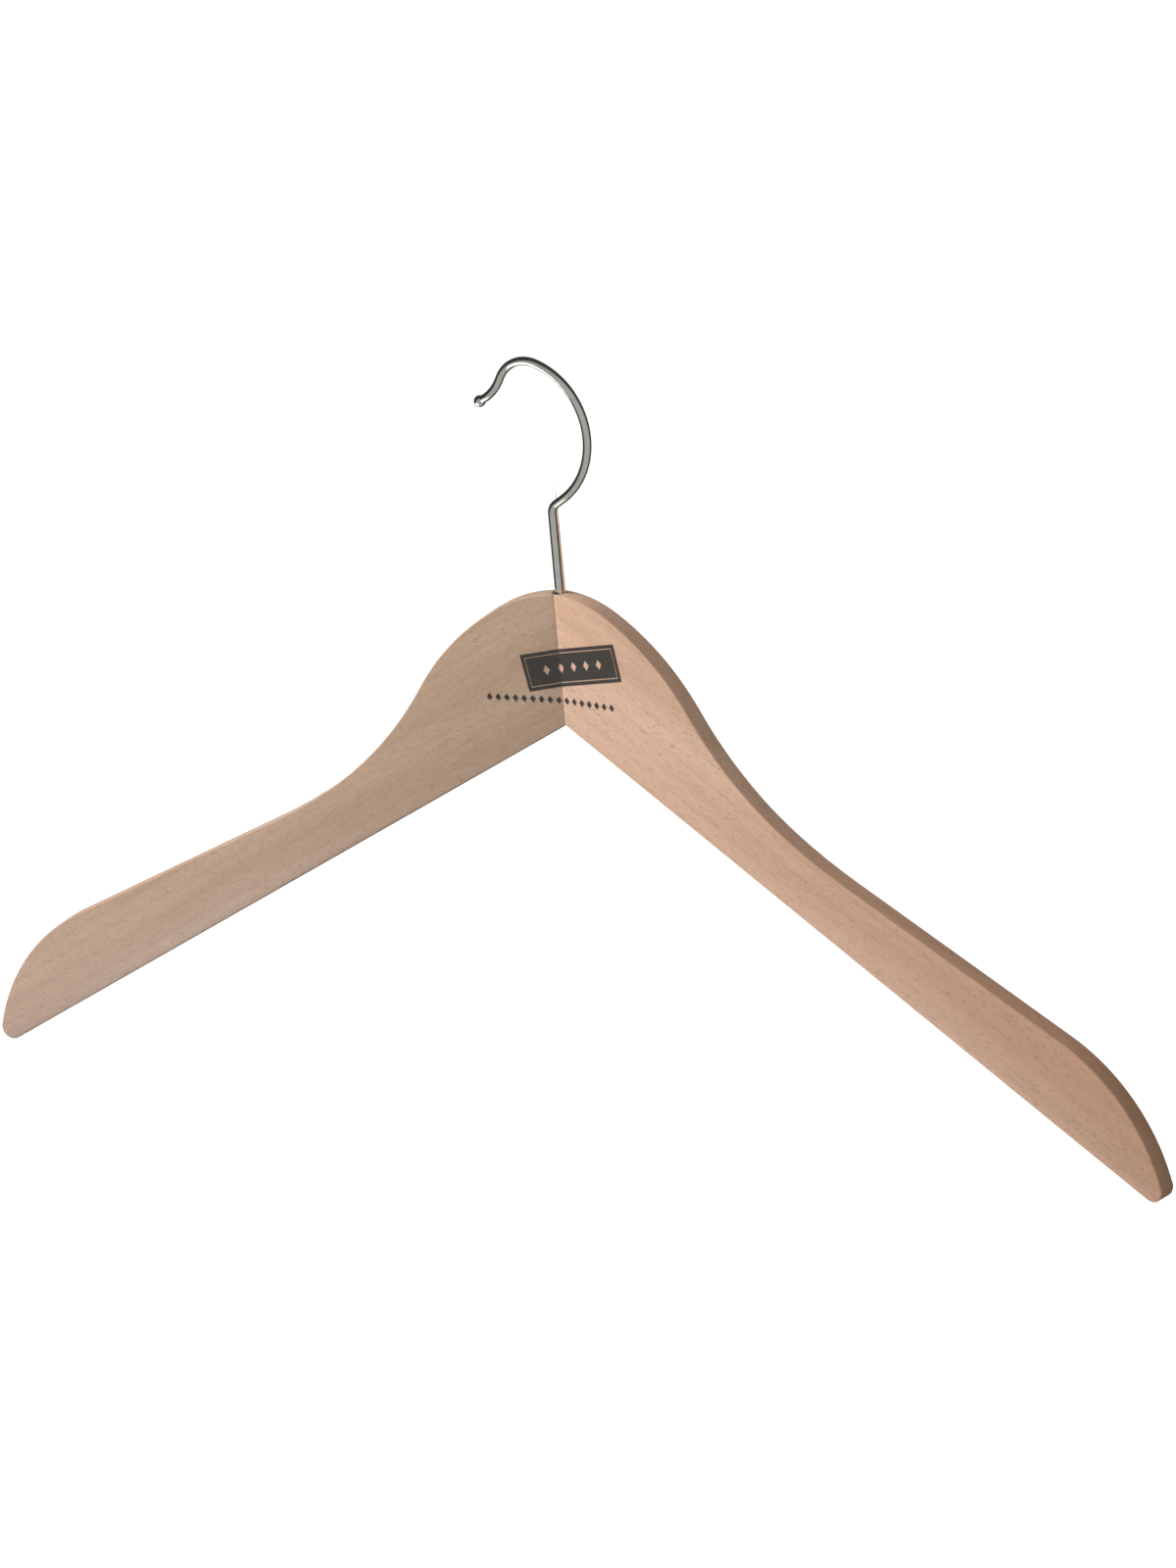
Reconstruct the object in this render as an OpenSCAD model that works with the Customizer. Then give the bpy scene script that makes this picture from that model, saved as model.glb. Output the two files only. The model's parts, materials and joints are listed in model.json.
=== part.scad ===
// Flat wooden clothes hanger with a swivelling wire hook.
// Two flat boards meet in a glued mitre and bend forward, one to each side.
// X runs along the hanger, -Y is its front, +Z is up.
// The origin is the point inside the hook that rests on the rail.

/* [Arms] */
// Length of one arm along its front face, from the seam to the tip
arm_len = 224.5; // [205:0.5:260]
// Thickness of the boards
board_t = 7; // [6.5:0.5:12]
// Forward bend of each arm, seen from above
bend = 7.5; // [2:0.5:15]
// Height of the seam on the front face, from the crest to the notch
seam_h = 44; // [42:1:56]
// Slope of the straight lower edge
under_slope = 29.6; // [29:0.1:31]

/* [Top edge] */
// Radius of the crest, where the hook comes out
crest_r = 42.5; // [38:0.5:46]
// Slope of the top edge where the crest ends
crest_end = 28; // [26:1:30]
// Radius of the shoulder below the crest
shoulder_r = 86; // [80:1:92]
// Steepest slope of the top edge, where the shoulder ends
shoulder_end = 57; // [54:1:59]
// Radius of the hollow at the neck
neck_r = 125; // [115:1:130]
// Slope of the top edge where the hollow begins to flatten
neck_end = 33.5; // [32:0.5:36]
// Radius of the flatter hollow, out to the straight stretch
flare_r = 184; // [150:1:220]
// Slope of the straight stretch
top_slope = 25.7; // [25:0.1:27]
// Radius of the drop to the tip
drop_r = 65; // [55:1:75]
// Radius of the nose at the tip
nose_r = 4; // [2:0.5:8]

/* [Mitre joint] */
// Thickness of the tongue inside the seam
tongue_t = 2.6; // [2:0.1:4]
// Depth of the tongue in the other arm
tongue_depth = 4; // [2:0.5:6]
// Wood left under the tongue
tongue_cover = 3; // [2:0.5:6]
// Gap for glue round the tongue
glue_gap = 0.1; // [0.05:0.05:0.3]

/* [Hook] */
// Diameter of the hook wire
wire_d = 2.8; // [2.4:0.1:3.4]
// Height of the straight shank above the crest
shank_h = 26.3; // [20:0.1:40]
// Inside bend at the top of the shank, to the wire's centre
elbow_r = 4; // [3:0.5:6]
// Heading of the wire after the elbow, above level
elbow_heading = 34.5; // [28:0.5:46]
// Straight stretch between the elbow and the bowl
rise_len = 3.8; // [2:0.1:10]
// Radius of the bowl, to the wire's centre
bowl_r = 24.9; // [20:0.1:28]
// Radius of the tighter stretch over the top, to the wire's centre
crown_r = 11.5; // [9:0.1:15]
// Heading where the bowl passes into the crown
crown_heading = 162; // [156:0.5:168]
// Heading where the crown ends, before the lip turns out
lip_heading = 244; // [238:1:252]
// Heading of the lip's end
end_heading = 209; // [198:1:218]
// Radius of the lip, to the wire's centre
lip_r = 16.4; // [10:0.1:20]
// Straight end of the lip
lip_len = 1.8; // [1:0.1:4]
// Diameter of the ball on the wire's end
ball_d = 3.9; // [3.6:0.1:5]

/* [Swivel] */
// Outside diameter of the sleeve in the wood
sleeve_d = 4.6; // [4.4:0.1:5]
// Length of the sleeve
sleeve_len = 14; // [10:1:18]
// Depth of the sleeve's top below the crest
sleeve_inset = 0.4; // [0.3:0.1:1]
// Height of a barb over the sleeve
barb_h = 0.15; // [0.1:0.05:0.2]
// Number of barbs
barb_count = 3; // [2:1:4]
// Radial running clearance of the shank in the sleeve
swivel_gap = 0.05; // [0.03:0.01:0.1]
// Gap between the head of the hook and the wall of the bore
head_side_gap = 0.4; // [0.2:0.05:0.5]
// Height of the head
head_h = 1.8; // [1.2:0.1:3]
// End play of the head, above and below
head_gap = 0.2; // [0.1:0.1:0.6]

/* [Print] */
// Width of the dark panel
panel_w = 37.7; // [30:0.1:42]
// Height of the dark panel
panel_h = 12.4; // [8:0.1:14]
// Tilt of the panel
panel_tilt = 11; // [0:1:14]
// Distance of the panel's centre to the right of the seam
panel_x = 5.6; // [0:0.1:8]
// Depth of the panel's centre below the crest
panel_drop = 23.3; // [20:0.1:25]
// Distance of the panel's line from its edge
line_inset = 1.1; // [0.8:0.1:2]
// Width of the panel's line
line_w = 0.4; // [0.3:0.05:0.6]
// Diamonds left bare across the panel
bare_diamonds = 5; // [1:2:5]
// Spacing of the bare diamonds
bare_pitch = 5.4; // [4:0.1:5.6]
// Width of a bare diamond
bare_w = 2.6; // [1:0.1:3.4]
// Height of a bare diamond
bare_h = 3.6; // [1:0.1:5]
// Depth of the diamond row below the crest
row_drop = 35.4; // [34:0.1:37]
// Spacing of the diamonds
diamond_pitch = 3.1; // [2.4:0.1:3.2]
// Width of a diamond
diamond_w = 1.9; // [1:0.1:2.2]
// Height of a diamond
diamond_h = 2.4; // [1.5:0.1:3]
// Diamonds to the left of the seam
left_diamonds = 9; // [3:1:9]
// Diamonds to the right of the seam
right_diamonds = 7; // [3:1:7]
// Thickness of the printed film
film_t = 0.12; // [0.1:0.02:0.3]

/* [Hidden] */
$fn = 96;

wood = [0.80, 0.66, 0.55];
chrome = [0.72, 0.74, 0.72];
zinc = [0.60, 0.61, 0.62];
ink = [0.21, 0.19, 0.17];

big = 2 * arm_len;
arc_step = 2;   // degrees between the points of an outline's arcs
lap = 0.5;   // how far a cutting shape reaches past the edge that it works on
wire_lap = 0.15;   // how far a stretch of wire laps over its neighbours
thin_d = wire_d - 0.02;   // the thinner of the two sizes that the stretches alternate between

// Points and headings along a path: x and height in a flat frame, heading in degrees.
function along(p, heading, len) = p + len * [cos(heading), sin(heading)];
function side_of(p, heading, r) = p + r * [-sin(heading), cos(heading)];   // r > 0 is to the left
// The centre of an arc that leaves p at this heading; turn > 0 turns left.
function arc_centre(p, heading, r, turn) = side_of(p, heading, turn > 0 ? r : -r);
function arc_end(p, heading, r, turn) =
    side_of(arc_centre(p, heading, r, turn), heading + turn, turn > 0 ? -r : r);

// Points of an arc after p, at most arc_step degrees apart, its end included.
function arc_points(p, heading, r, turn) =
    let (n = ceil(abs(turn) / arc_step))
    [for (i = [1 : n]) arc_end(p, heading, r, turn * i / n)];

// ---- outline of an arm on its front face: x from the seam, height from the crest ----
front_y = -board_t / 2 / cos(bend);            // the front of the seam
mitre_run = board_t * tan(bend);               // the back of the mitre reaches past the front by this
start = [-2 * mitre_run - 1, 0];               // the blank begins behind the mitre
crest_top = [0, 0];
crest_p = arc_end(crest_top, 0, crest_r, -crest_end);
shoulder_p = arc_end(crest_p, -crest_end, shoulder_r, crest_end - shoulder_end);
neck_p = arc_end(shoulder_p, -shoulder_end, neck_r, shoulder_end - neck_end);
flare_p = arc_end(neck_p, -neck_end, flare_r, neck_end - top_slope);

// The lower edge leaves the notch at this slope.
notch = [0, -seam_h];
under = [cos(under_slope), -sin(under_slope)];
under_n = [sin(under_slope), cos(under_slope)];                     // up into the wood
// The nose touches the lower edge, and reaches out to the arm's length.
nose_c = notch + nose_r * under_n
    + under * (arm_len - nose_r - nose_r * under_n[0]) / under[0];
// The drop is tangent to the straight stretch and to the nose, so its centre lies on a line
// parallel to the stretch, drop_r below it, and drop_r - nose_r from the nose's centre.
stretch = [cos(top_slope), -sin(top_slope)];
drop_line = side_of(flare_p, -top_slope, -drop_r);
nose_along = (nose_c - drop_line) * stretch;
nose_off = norm(nose_c - drop_line - nose_along * stretch);
drop_c = drop_line
    + (nose_along - sqrt(pow(drop_r - nose_r, 2) - pow(nose_off, 2))) * stretch;
drop_p = side_of(drop_c, -top_slope, drop_r);
drop_end = atan2(nose_c[1] - drop_c[1], nose_c[0] - drop_c[0]) - 90;   // the heading at the nose
nose_p = arc_end(drop_p, -top_slope, drop_r, drop_end + top_slope);

module arm_outline() {
    polygon(concat(
        [start - [0, seam_h + start[0] * tan(under_slope)], start, crest_top],
        arc_points(crest_top, 0, crest_r, -crest_end),
        arc_points(crest_p, -crest_end, shoulder_r, crest_end - shoulder_end),
        arc_points(shoulder_p, -shoulder_end, neck_r, shoulder_end - neck_end),
        arc_points(neck_p, -neck_end, flare_r, neck_end - top_slope),
        [drop_p],
        arc_points(drop_p, -top_slope, drop_r, drop_end + top_slope),
        arc_points(nose_p, drop_end, nose_r, -180 - under_slope - drop_end)
    ));
}

// ---- hook path above the crest, in its own flat frame round the shank ----
elbow_turn = elbow_heading - 90;
bowl_turn = crown_heading - elbow_heading;
crown_turn = lip_heading - crown_heading;
lip_turn = end_heading - lip_heading;
shank_top = [0, shank_h];
elbow_p = arc_end(shank_top, 90, elbow_r, elbow_turn);
rise_p = along(elbow_p, elbow_heading, rise_len);
bowl_p = arc_end(rise_p, elbow_heading, bowl_r, bowl_turn);
crown_p = arc_end(bowl_p, crown_heading, crown_r, crown_turn);
crown_c = arc_centre(bowl_p, crown_heading, crown_r, crown_turn);
lip_p = arc_end(crown_p, lip_heading, lip_r, lip_turn);
tip_p = along(lip_p, end_heading, lip_len);
seat = crown_c + [0, crown_r - wire_d / 2];    // the inside of the crown's highest point

// ---- depths below the crest ----
sleeve_bottom = sleeve_inset + sleeve_len;
head_top = sleeve_bottom + head_gap;
shank_bottom = head_top + head_h;
head_d = sleeve_d - 2 * head_side_gap;
bore_depth = shank_bottom + head_gap;
tongue_top = bore_depth + tongue_cover;
tongue_bottom = seam_h - tongue_cover;

// Moves what is built round the crest and the shank to the rail seat's frame.
module from_seat() { translate([-seat[0], 0, -seat[1]]) children(); }

// Stands a flat shape up behind (+) or before (-) the right arm's front face.
module on_right_face(from, to) {
    translate([0, front_y, 0]) rotate([0, 0, -bend]) translate([0, to, 0])
        rotate([90, 0, 0]) linear_extrude(to - from) children();
}

// Keeps what is on the right of the mitre.
module right_of_seam() {
    intersection() {
        children();
        translate([0, -big, -big]) cube([big, 2 * big, 2 * big]);
    }
}

module arm_blank() { right_of_seam() on_right_face(0, board_t) arm_outline(); }

module swivel_bore() { translate([0, 0, -bore_depth]) cylinder(d = sleeve_d, h = bore_depth + crest_r); }

module tongue(gap) {
    depth = tongue_depth + gap;
    translate([-depth, -tongue_t / 2 - gap, -tongue_bottom - gap])
        cube([depth + lap, tongue_t + 2 * gap, tongue_bottom - tongue_top + 2 * gap]);
}

module left_arm() {
    color(wood) from_seat() difference() {
        mirror([1, 0, 0]) arm_blank();
        swivel_bore();
        tongue(glue_gap);
    }
}

module right_arm() {
    color(wood) from_seat() union() {
        difference() {
            arm_blank();
            swivel_bore();
        }
        tongue(0);
    }
}

// The wire is a chain of stretches. Every second one is a hair thicker and laps over the ends of
// its neighbours, so that the chain becomes one solid.
// A bent stretch leaves p at this heading and reaches past both its ends by over.
module wire_arc(p, heading, r, turn, d, over = 0) {
    c = arc_centre(p, heading, r, turn);
    more = over / r * 180 / PI;
    translate([c[0], 0, c[1]]) rotate([90, 0, 0])
        rotate([0, 0, heading - more + (turn > 0 ? -90 : 90 + turn)])
            rotate_extrude(angle = abs(turn) + 2 * more) translate([r, 0]) circle(d = d);
}

// A straight stretch leaves p at this heading and reaches past both its ends by wire_lap.
module wire_rod(p, heading, len) {
    q = along(p, heading, -wire_lap);
    translate([q[0], 0, q[1]]) rotate([0, 90 - heading, 0])
        cylinder(d = wire_d, h = len + 2 * wire_lap);
}

module hook() {
    color(chrome) from_seat() union() {
        wire_rod([0, -head_top], 90, shank_h + head_top);
        wire_arc(shank_top, 90, elbow_r, elbow_turn, thin_d);
        wire_rod(elbow_p, elbow_heading, rise_len);
        wire_arc(rise_p, elbow_heading, bowl_r, bowl_turn, thin_d);
        wire_arc(bowl_p, crown_heading, crown_r, crown_turn, wire_d, wire_lap);
        wire_arc(crown_p, lip_heading, lip_r, lip_turn, thin_d);
        wire_rod(lip_p, end_heading, lip_len);
        translate([tip_p[0], 0, tip_p[1]]) sphere(d = ball_d);
        translate([0, 0, -shank_bottom]) cylinder(d = head_d, h = head_h);
    }
}

module swivel_sleeve() {
    barb_pitch = sleeve_len / (barb_count + 1);
    color(zinc) from_seat() translate([0, 0, -sleeve_bottom]) difference() {
        union() {
            cylinder(d = sleeve_d, h = sleeve_len);
            for (i = [1 : barb_count]) translate([0, 0, i * barb_pitch])
                cylinder(r1 = sleeve_d / 2, r2 = sleeve_d / 2 + barb_h, h = barb_pitch / 2);
        }
        translate([0, 0, -lap]) cylinder(d = wire_d + 2 * swivel_gap, h = sleeve_len + 2 * lap);
    }
}

// Prints a flat drawing on both front faces. The drawing's x is 0 at the seam.
module printed() {
    right_of_seam() on_right_face(-film_t, 0) children();
    mirror([1, 0, 0]) right_of_seam() on_right_face(-film_t, 0) mirror([1, 0, 0]) children();
}

module panel_frame(inset) { square([panel_w - 2 * inset, panel_h - 2 * inset], center = true); }

module panel_drawing() {
    translate([panel_x, -panel_drop]) rotate(panel_tilt) {
        difference() {
            panel_frame(0);
            panel_frame(line_inset);
        }
        difference() {
            panel_frame(line_inset + line_w);
            for (i = [0 : bare_diamonds - 1])
                translate([(i - (bare_diamonds - 1) / 2) * bare_pitch, 0]) diamond(bare_w, bare_h);
        }
    }
}

module diamond(w, h) { polygon([[-w / 2, 0], [0, -h / 2], [w / 2, 0], [0, h / 2]]); }

module row_drawing() {
    for (i = [-left_diamonds : right_diamonds - 1])
        translate([(i + 0.5) * diamond_pitch, -row_drop]) diamond(diamond_w, diamond_h);
}

module print_panel() { color(ink) from_seat() printed() panel_drawing(); }
module print_row() { color(ink) from_seat() printed() row_drawing(); }

left_arm();
right_arm();
hook();
swivel_sleeve();
print_panel();
print_row();
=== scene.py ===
"""A wooden clothes hanger with a swivelling wire hook, for Blender 4.5.

The board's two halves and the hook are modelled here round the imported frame. The swivel sleeve and
the printed marks are the frame's own, with finishes made here. Lengths are in metres, unless a
comment says otherwise.
"""

import json
import math

import bmesh
import bpy
from mathutils import Matrix, Vector


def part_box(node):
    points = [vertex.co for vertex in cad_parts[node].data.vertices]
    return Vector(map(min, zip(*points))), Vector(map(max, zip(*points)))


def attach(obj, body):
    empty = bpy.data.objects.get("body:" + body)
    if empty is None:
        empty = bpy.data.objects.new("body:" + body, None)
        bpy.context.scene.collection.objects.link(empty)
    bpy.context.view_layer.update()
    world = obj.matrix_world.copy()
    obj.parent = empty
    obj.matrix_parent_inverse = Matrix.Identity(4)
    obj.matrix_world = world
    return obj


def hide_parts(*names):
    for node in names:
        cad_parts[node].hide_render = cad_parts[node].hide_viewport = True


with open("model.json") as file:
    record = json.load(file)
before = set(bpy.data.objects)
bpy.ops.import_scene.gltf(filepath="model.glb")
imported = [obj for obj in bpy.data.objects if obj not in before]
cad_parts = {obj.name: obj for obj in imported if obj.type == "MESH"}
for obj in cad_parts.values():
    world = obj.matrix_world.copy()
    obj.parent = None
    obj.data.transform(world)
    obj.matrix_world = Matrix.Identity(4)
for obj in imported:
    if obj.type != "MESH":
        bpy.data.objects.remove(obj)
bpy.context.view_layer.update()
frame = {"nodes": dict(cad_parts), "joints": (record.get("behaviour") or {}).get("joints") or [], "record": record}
bpy.ops.object.select_all(action="DESELECT")

MM = 0.001
MM_PER_METRE = 1000
mounts = {m["name"]: m for m in frame["record"]["mounts"]}

# Places that the frame gives
seam_x = frame["joints"][0]["pos_m"][0]
crest_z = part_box("right_arm")[1].z
seam_front_y = -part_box("right_arm")[1].y
shank_foot_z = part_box("hook")[0].z

# Outward directions of the halves' backs and lower edges
right_back = Vector(mounts["right_back"]["axis"])
left_back = Vector(mounts["left_back"]["axis"])
right_lower = Vector(mounts["right_lower_edge"]["axis"])
left_lower = Vector(mounts["left_lower_edge"]["axis"])

# Board: its rounded arrises, and how its flat faces and seam are told from the rest
front_arris_r = 0.45 * MM
front_arris_steps = 3
back_arris_r = 1.05 * MM
back_arris_steps = 4
flat_dot = 0.999
flat_angle = math.radians(0.3)
on_seam_within = 0.01 * MM

# Beech. Each pith is the shift that puts the growth rings' centre off the board. It is in
# millimetres, and so are the places along the grain where the seam's painted light gives way to the tip's.
painted_light_from = 60
painted_light_to = 320
right_pith = (0, 46, 30)
# Painted light: each pair scales the colour at the seam and at the tip. The right half is painted about a third
# lighter than the left at the seam, and the two come closer toward the tips.
right_painted_light = ((1.32, 1.25, 1.29), (1.15, 0.96, 0.89))
left_pith = (0, 58, -24)
left_painted_light = ((0.96, 0.96, 0.98), (0.92, 0.91, 0.99))
ray_brown = (0.33, 0.185, 0.115)

# Every mesh made here
sharp_angle = math.radians(30)
weld = 0.001 * MM

# Hook, from the head inside the board to the ball. A heading of 0 degrees is to the right, and 90
# is up.
wire_r = 1.4 * MM
head_r = 1.9 * MM
head_h = 1.8 * MM
shank_h = 26.3 * MM
elbow_r = 4 * MM
elbow_heading = 34.5
rise_len = 3.8 * MM
bowl_r = 24.9 * MM
crown_r = 11.5 * MM
crown_heading = 162
lip_heading = 244
end_heading = 209
lip_r = 16.4 * MM
lip_len = 1.8 * MM
ball_r = 1.95 * MM
wire_sides = 40
bend_step = 3   # degrees from ring to ring
ball_rings = 12


# ---- small tools ----
def activate(obj):
    bpy.ops.object.select_all(action="DESELECT")
    obj.select_set(True)
    bpy.context.view_layer.objects.active = obj


def edit(obj, mode):
    activate(obj)
    bpy.ops.object.mode_set(mode="EDIT")
    bpy.ops.mesh.select_mode(type=mode)


def leave_edit():
    bpy.ops.object.mode_set(mode="OBJECT")


def finish(obj, material, body):
    """Smooths the rounds, keeps the arrises, and puts the piece on its body."""
    activate(obj)
    bpy.ops.object.shade_smooth_by_angle(angle=sharp_angle)
    obj.data.materials.clear()
    obj.data.materials.append(material)
    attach(obj, body)


# ---- materials ----
node_gap = 200
node_drop = 60
node_rows = 5

# A Mix node's sockets for colours
amount_in, a_in, b_in, colour_out = 0, 6, 7, 2


class Finish:
    """A material's nodes, laid out by short calls."""

    def __init__(self, name, **sockets):
        self.material = bpy.data.materials.new(name)
        self.material.use_nodes = True
        self.tree = self.material.node_tree
        self.shader = self.tree.nodes["Principled BSDF"]
        for socket, value in sockets.items():
            self.shader.inputs[socket.replace("_", " ")].default_value = value
        self.column = 0

    def add(self, kind, values=None, **settings):
        node = self.tree.nodes.new(kind)
        self.column += 1
        node.location = (-node_gap * self.column, -node_drop * (self.column % node_rows))
        for key, value in settings.items():
            setattr(node, key, value)
        for socket, value in (values or {}).items():
            node.inputs[socket].default_value = value
        return node

    def link(self, source, target):
        self.tree.links.new(source, target)

    def placed(self, turn=(0, 0, 0), scale=(1, 1, 1), shift=(0, 0, 0)):
        """Object coordinates, turned, scaled and shifted."""
        coords = self.add("ShaderNodeTexCoord")
        mapping = self.add("ShaderNodeMapping", {"Location": shift, "Rotation": turn, "Scale": scale})
        self.link(coords.outputs["Object"], mapping.inputs["Vector"])
        return mapping.outputs["Vector"]

    def stretched(self, vector, scale, shift=(0, 0, 0)):
        mapping = self.add("ShaderNodeMapping", {"Location": shift, "Scale": scale})
        self.link(vector, mapping.inputs["Vector"])
        return mapping.outputs["Vector"]

    def noise(self, vector, scale=1.0, detail=3.0, roughness=0.5, distortion=0.0):
        node = self.add(
            "ShaderNodeTexNoise",
            {"Scale": scale, "Detail": detail, "Roughness": roughness, "Distortion": distortion},
        )
        self.link(vector, node.inputs["Vector"])
        return node.outputs["Fac"]

    def ramp(self, value, *stops):
        """Each stop is a place from 0 to 1 and a grey or a colour."""
        node = self.add("ShaderNodeValToRGB")
        while len(node.color_ramp.elements) < len(stops):
            node.color_ramp.elements.new(0.5)
        for element, (place, colour) in zip(node.color_ramp.elements, stops):
            element.position = place
            grey = isinstance(colour, (int, float))
            element.color = (colour, colour, colour, 1) if grey else (*colour, 1)
        self.link(value, node.inputs["Fac"])
        return node.outputs["Color"]

    def mix(self, a, b, amount, blend="MIX"):
        """Lays b over a. The amount is a number or another node's output."""
        node = self.add("ShaderNodeMix", data_type="RGBA", blend_type=blend)
        self.link(a, node.inputs[a_in])
        if isinstance(b, tuple):
            node.inputs[b_in].default_value = (*b, 1)
        else:
            self.link(b, node.inputs[b_in])
        if isinstance(amount, (int, float)):
            node.inputs[amount_in].default_value = amount
        else:
            self.link(amount, node.inputs[amount_in])
        return node.outputs[colour_out]

    def bump(self, height, strength, distance):
        node = self.add("ShaderNodeBump", {"Strength": strength, "Distance": distance})
        self.link(height, node.inputs["Height"])
        self.link(node.outputs["Normal"], self.shader.inputs["Normal"])


def grain_turn(lower, back):
    """Turns the object's axes so that X runs along the grain, Y through the board and Z across it."""
    through = back.normalized()
    across = -lower.normalized()
    along = through.cross(across).normalized()
    return Matrix((along, through, across)).to_euler("XYZ")


def beech(name, lower, back, pith, painted_light):
    """Steamed beech under satin lacquer: the grain follows the arm's lower edge. Its colour is then
    scaled by painted light, from a seam value to a tip value.
    """
    seam_painted_light, tip_painted_light = painted_light
    wood = Finish(name, Roughness=0.46, Coat_Weight=0.18, Coat_Roughness=0.22)
    grain = wood.placed(turn=grain_turn(lower, back), scale=(MM_PER_METRE,) * 3)

    # Broad bands of tone along the arm
    broad = wood.noise(wood.stretched(grain, (0.006, 0.05, 0.06)), detail=3)
    tone = wood.ramp(
        broad, (0.30, (0.515, 0.340, 0.228)), (0.52, (0.575, 0.392, 0.270)), (0.72, (0.635, 0.450, 0.322))
    )

    # Growth rings round a pith that lies outside the board
    rings = wood.add(
        "ShaderNodeTexWave",
        {"Scale": 0.06, "Distortion": 4.0, "Detail": 3.0, "Detail Scale": 0.5, "Detail Roughness": 0.55},
        wave_type="RINGS",
        rings_direction="X",
        wave_profile="SAW",
    )
    wood.link(wood.stretched(grain, (0.05, 1, 1), shift=pith), rings.inputs["Vector"])
    ring_tone = wood.ramp(rings.outputs["Fac"], (0.0, 1.0), (0.60, 0.975), (0.90, 0.90), (1.0, 0.97))
    tone = wood.mix(tone, ring_tone, 0.6, "MULTIPLY")

    # Fine pores drawn out along the grain
    pores = wood.noise(wood.stretched(grain, (0.16, 2.2, 2.2)), detail=4, roughness=0.7)
    pore_tone = wood.ramp(pores, (0.30, 0.80), (0.50, 1.0), (0.72, 1.07))
    tone = wood.mix(tone, pore_tone, 0.75, "MULTIPLY")

    # Short dark ray flecks, a millimetre or two long
    fleck_place = wood.stretched(grain, (0.55, 2.7, 2.7), shift=(7.3, 2.1, 4.7))
    flecks = wood.noise(fleck_place, detail=1.5, roughness=0.4)
    tone = wood.mix(tone, ray_brown, wood.ramp(flecks, (0.615, 0.0), (0.70, 0.6)))

    # Painted light: the colour is scaled from a seam value to a tip value, in place of lamp light
    apart = wood.add("ShaderNodeSeparateXYZ")
    wood.link(grain, apart.inputs["Vector"])
    run = wood.add("ShaderNodeMath", operation="ABSOLUTE")
    wood.link(apart.outputs["X"], run.inputs[0])
    share = wood.add("ShaderNodeMapRange", {"From Min": painted_light_from, "From Max": painted_light_to})
    wood.link(run.outputs["Value"], share.inputs["Value"])
    painted_light_tint = wood.ramp(share.outputs["Result"], (0.0, seam_painted_light), (1.0, tip_painted_light))
    tone = wood.mix(tone, painted_light_tint, 1.0, "MULTIPLY")

    wood.link(tone, wood.shader.inputs["Base Color"])
    wood.link(wood.ramp(pores, (0.3, 0.54), (0.7, 0.40)), wood.shader.inputs["Roughness"])
    wood.bump(pores, strength=0.10, distance=0.05 * MM)
    return wood.material


def nickel(name):
    """Bright nickel on drawn wire, a little hazy and hardly uneven."""
    metal = Finish(name, Metallic=1.0)
    place = metal.placed(scale=(MM_PER_METRE,) * 3)
    haze = metal.noise(place, scale=0.35, detail=3)
    tone = metal.ramp(haze, (0.3, (0.80, 0.81, 0.75)), (0.7, (0.92, 0.925, 0.88)))
    metal.link(tone, metal.shader.inputs["Base Color"])
    metal.link(metal.ramp(haze, (0.3, 0.05), (0.75, 0.13)), metal.shader.inputs["Roughness"])
    fine = metal.noise(place, scale=2.2, detail=2)
    metal.bump(fine, strength=0.02, distance=0.02 * MM)
    return metal.material


def zinc_plate(name):
    """Dull zinc with the small crystals of the plating."""
    metal = Finish(name, Metallic=1.0)
    crystals = metal.add("ShaderNodeTexVoronoi", {"Scale": 2600.0, "Randomness": 1.0})
    metal.link(metal.placed(), crystals.inputs["Vector"])
    from_middle = crystals.outputs["Distance"]
    tone = metal.ramp(from_middle, (0.0, (0.33, 0.34, 0.35)), (1.0, (0.48, 0.49, 0.50)))
    metal.link(tone, metal.shader.inputs["Base Color"])
    metal.link(metal.ramp(from_middle, (0.0, 0.30), (1.0, 0.48)), metal.shader.inputs["Roughness"])
    return metal.material


def printed_ink(name):
    """Warm black ink, thin enough that the wood's grain breaks it up a little."""
    ink = Finish(name, Roughness=0.55)
    grain = ink.placed(scale=(120, 1000, 1600))
    worn = ink.noise(grain, detail=4, roughness=0.6)
    tone = ink.ramp(
        worn, (0.30, (0.026, 0.021, 0.017)), (0.62, (0.040, 0.033, 0.027)), (0.80, (0.085, 0.066, 0.050))
    )
    ink.link(tone, ink.shader.inputs["Base Color"])
    ink.link(ink.ramp(worn, (0.3, 0.50), (0.8, 0.68)), ink.shader.inputs["Roughness"])
    return ink.material


# ---- the two halves of the board ----
def half_board(node, name, back, material):
    """A half of the board, with its arrises rounded except along the glued seam."""
    activate(frame["nodes"][node])
    bpy.ops.object.duplicate()
    half = bpy.context.object
    half.name = half.data.name = name
    half.parent = None

    # The copy keeps none of the node's own properties
    for key in list(half.keys()):
        del half[key]

    edit(half, "VERT")
    bpy.ops.mesh.select_all(action="SELECT")
    bpy.ops.mesh.remove_doubles(threshold=weld)
    bpy.ops.mesh.dissolve_limited(angle_limit=flat_angle)

    def flat(face):
        return abs(face.normal.dot(back)) > flat_dot

    def arris(edge, way):
        """Does this edge part the front (-1) or the back (1) from the rim?"""
        broad = [face for face in edge.link_faces if flat(face)]
        if len(edge.link_faces) != 2 or len(broad) != 1:
            return False
        on_seam = all(abs(v.co.x - seam_x) < on_seam_within for v in edge.verts)
        return broad[0].normal.dot(back) * way > 0 and not on_seam

    rounds = ((-1, front_arris_r, front_arris_steps), (1, back_arris_r, back_arris_steps))
    for way, radius, steps in rounds:
        select_edges(half, lambda edge: arris(edge, way))
        bpy.ops.mesh.bevel(offset=radius, segments=steps, affect="EDGES", clamp_overlap=False)
    leave_edit()
    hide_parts(node)
    finish(half, material, "hanger")


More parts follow.
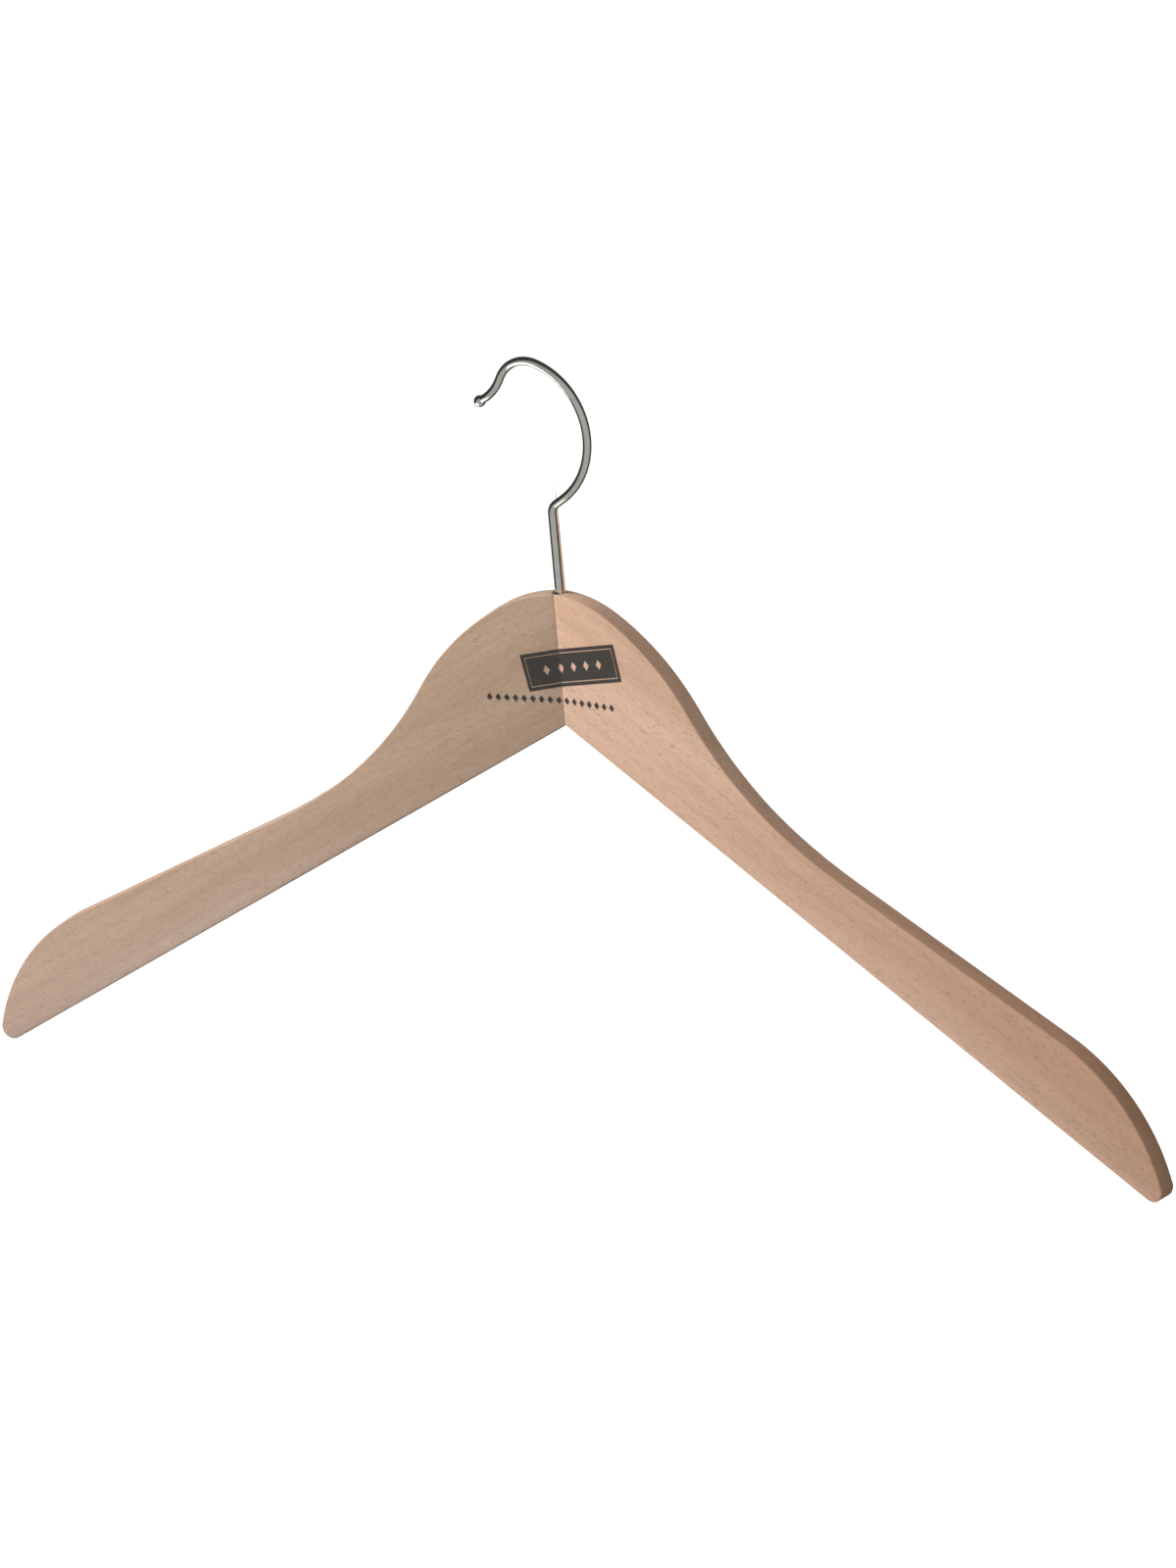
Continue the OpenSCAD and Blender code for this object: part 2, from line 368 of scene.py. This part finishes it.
def select_edges(obj, wanted):
    bpy.ops.mesh.select_mode(type="EDGE")
    bpy.ops.mesh.select_all(action="DESELECT")
    mesh = bmesh.from_edit_mesh(obj.data)
    for edge in mesh.edges:
        edge.select_set(wanted(edge))
    mesh.select_flush_mode()
    bmesh.update_edit_mesh(obj.data)


# ---- the hook ----
class Wire:
    """The end of the wire as it is drawn out and bent, in the plane of the hook."""

    def __init__(self, x, z, heading):
        self.x, self.z, self.heading = x, z, heading

    def draw(self, length):
        here = math.radians(self.heading)
        step = Vector((math.cos(here), 0, math.sin(here))) * length
        bpy.ops.mesh.extrude_region_move(TRANSFORM_OT_translate={"value": step})
        self.x += step.x
        self.z += step.z

    def bend(self, radius, heading):
        """Bends to a new heading. A rising heading turns left."""
        turn = math.radians(heading - self.heading)
        side = math.copysign(radius, turn)
        here = math.radians(self.heading)
        centre = Vector((self.x - side * math.sin(here), 0, self.z + side * math.cos(here)))
        steps = math.ceil(abs(heading - self.heading) / bend_step)
        bpy.ops.mesh.spin(steps=steps, angle=turn, center=centre, axis=(0, 1, 0))
        there = math.radians(heading)
        self.x = centre.x + side * math.sin(there)
        self.z = centre.z - side * math.cos(there)
        self.heading = heading

    def swell(self, factor):
        bpy.ops.transform.resize(value=(factor, factor, factor), center_override=(self.x, 0, self.z))


def make_hook(material):
    bpy.ops.mesh.primitive_circle_add(
        vertices=wire_sides, radius=head_r, fill_type="NGON", location=(seam_x, 0, shank_foot_z)
    )
    hook = bpy.context.object
    hook.name = hook.data.name = "hook_wire"
    bpy.ops.object.transform_apply(location=True)
    edit(hook, "FACE")
    bpy.ops.mesh.select_all(action="SELECT")
    wire = Wire(seam_x, shank_foot_z, 90)
    wire.draw(head_h)
    bpy.ops.mesh.inset(thickness=head_r - wire_r, depth=0)
    wire.draw(crest_z + shank_h - wire.z)
    wire.bend(elbow_r, elbow_heading)
    wire.draw(rise_len)
    wire.bend(bowl_r, crown_heading)
    wire.bend(crown_r, lip_heading)
    wire.bend(lip_r, end_heading)

    # The ball is drawn out of the end, ring by ring. It begins where it is as wide as the wire.
    neck = math.asin(wire_r / ball_r)
    wire.draw(lip_len - ball_r * math.cos(neck))
    angles = [neck + (math.pi - neck) * i / ball_rings for i in range(ball_rings)]
    for before, after in zip(angles, angles[1:]):
        wire.draw(ball_r * (math.cos(before) - math.cos(after)))
        wire.swell(math.sin(after) / math.sin(before))
    last = angles[-1]
    wire.draw(ball_r * (math.cos(last) + 1))
    bpy.ops.mesh.merge(type="CENTER")
    bpy.ops.mesh.select_all(action="SELECT")
    bpy.ops.mesh.remove_doubles(threshold=weld)
    bpy.ops.mesh.normals_make_consistent(inside=False)
    leave_edit()
    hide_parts("hook")
    finish(hook, material, "hook")


# ---- the camera, the light and the floor ----
camera_azimuth = math.radians(33.4)
camera_elevation = math.radians(18.1)
camera_roll = math.radians(-5.17)
camera_distance = 2.114
lens_mm = 150.8
sensor_mm = 36

# The point that the camera and the lights are turned to
aim = Vector((seam_x + 10.7 * MM, seam_front_y - 6.2 * MM, crest_z - 60.8 * MM))

# The room that shows in the wire. Its greys run from the side away from the camera (0) to a place
# a little below the camera's side (1).
room_elevation = math.radians(-15)
room_strength = 0.5
room_greys = ((0.0, 0.34), (0.22, 0.06), (0.5, 0.05), (0.8, 0.80))
room_tint = (1, 1.02, 0.98)

# The white stage
paper_white = (0.93, 0.93, 0.93, 1)
paper_glow = 0.95
floor_drop = 0.75
floor_size = 30
dome_r = 14

# The white card that the wire mirrors
card_azimuth = math.radians(-52)
card_elevation = math.radians(-45)
card_distance = 1
card_size = 0.85
card_glow = 2.0


def around(azimuth, elevation, distance, centre):
    """A place round the centre. Azimuth 0 is in front, and it rises to the right."""
    out = Vector(
        (
            math.sin(azimuth) * math.cos(elevation),
            -math.cos(azimuth) * math.cos(elevation),
            math.sin(elevation),
        )
    )
    return centre + out * distance


def make_camera():
    bpy.ops.object.camera_add(location=around(camera_azimuth, camera_elevation, camera_distance, aim))
    camera = bpy.context.object
    turn = (
        Matrix.Rotation(camera_azimuth, 3, "Z")
        @ Matrix.Rotation(math.pi / 2 - camera_elevation, 3, "X")
        @ Matrix.Rotation(camera_roll, 3, "Z")
    )
    camera.rotation_euler = turn.to_euler()
    camera.data.lens = lens_mm
    camera.data.sensor_width = sensor_mm
    bpy.context.scene.camera = camera


def soft_box(name, azimuth, elevation, distance, size, watts):
    """A soft light that is turned to the hanger. The wire doesn't mirror it."""
    place = around(math.radians(azimuth), math.radians(elevation), distance, aim)
    bpy.ops.object.light_add(type="AREA", location=place)
    light = bpy.context.object
    light.name = name
    light.data.shape = "RECTANGLE"
    light.data.size, light.data.size_y = size
    light.data.energy = watts
    light.rotation_euler = (aim - place).to_track_quat("-Z", "Y").to_euler()
    light.visible_glossy = False


def plain_white(name, glow):
    """Makes the piece just added a white stage piece that only the camera sees, so that it neither
    lights the hanger nor shadows it."""
    obj = bpy.context.object
    obj.name = name
    paper = Finish(
        name + "_white",
        Base_Color=paper_white,
        Roughness=0.9,
        Emission_Color=(1, 1, 1, 1),
        Emission_Strength=glow,
    )
    obj.data.materials.append(paper.material)
    obj.visible_diffuse = False
    obj.visible_glossy = False
    obj.visible_shadow = False
    return obj


def reflector():
    """A white card, low on the left, that only shows as a bright line along the inside of the wire."""
    place = around(card_azimuth, card_elevation, card_distance, aim)
    facing = (aim - place).to_track_quat("Z", "Y").to_euler()
    bpy.ops.mesh.primitive_plane_add(size=card_size, location=place, rotation=facing)
    card = plain_white("reflector", card_glow)
    card.visible_camera = False
    card.visible_glossy = True


def make_world():
    """Pale on the camera's side and dark round the hanger, so that the wire's edges stay dark, and
    grey behind it."""
    world = bpy.data.worlds.new("studio")
    bpy.context.scene.world = world
    world.use_nodes = True
    nodes, links = world.node_tree.nodes, world.node_tree.links
    background = nodes["Background"]
    coords = nodes.new("ShaderNodeTexCoord")
    facing = nodes.new("ShaderNodeVectorMath")
    facing.operation = "DOT_PRODUCT"
    facing.inputs[1].default_value = around(camera_azimuth, room_elevation, 1, Vector())
    share = nodes.new("ShaderNodeMapRange")   # from -1 and 1, the ends of the product, to 0 and 1
    share.inputs["From Min"].default_value = -1
    shade = nodes.new("ShaderNodeValToRGB")
    stops = shade.color_ramp.elements
    while len(stops) < len(room_greys):
        stops.new(0.5)
    for stop, (position, grey) in zip(stops, room_greys):
        stop.position = position
        stop.color = (*(grey * part for part in room_tint), 1)
    links.new(coords.outputs["Generated"], facing.inputs[0])
    links.new(facing.outputs["Value"], share.inputs["Value"])
    links.new(share.outputs["Result"], shade.inputs["Fac"])
    links.new(shade.outputs["Color"], background.inputs["Color"])
    background.inputs["Strength"].default_value = room_strength


def make_studio():
    soft_box("key", azimuth=-68, elevation=27, distance=1.3, size=(0.5, 0.7), watts=22.5)
    soft_box("top", azimuth=0, elevation=78, distance=1.2, size=(0.9, 0.9), watts=4.4)
    soft_box("back", azimuth=185, elevation=-5, distance=1.4, size=(0.8, 0.8), watts=22)
    reflector()
    make_world()
    below = (0, 0, crest_z - floor_drop)
    bpy.ops.mesh.primitive_plane_add(size=floor_size, location=below)
    plain_white("floor", paper_glow)
    bpy.ops.mesh.primitive_uv_sphere_add(radius=dome_r, location=below)
    plain_white("backdrop", paper_glow)


make_camera()
# Each half has its own copy of the beech with painted light: the right one is painted lighter than the left, most
# at the seam.
right_beech_painted_light = beech("beech_right", right_lower, right_back, right_pith, right_painted_light)
left_beech_painted_light = beech("beech_left", left_lower, left_back, left_pith, left_painted_light)
bright_nickel = nickel("bright_nickel")
zinc = zinc_plate("zinc_plate")
ink = printed_ink("printed_ink")

half_board("left_arm", "left_half", left_back, left_beech_painted_light)
half_board("right_arm", "right_half", right_back, right_beech_painted_light)
make_hook(bright_nickel)
for node, material in (("swivel_sleeve", zinc), ("print_panel", ink), ("print_row", ink)):
    for material_slot in frame["nodes"][node].material_slots:
        material_slot.material = material
make_studio()

bpy.context.scene.view_settings.view_transform = "Standard"
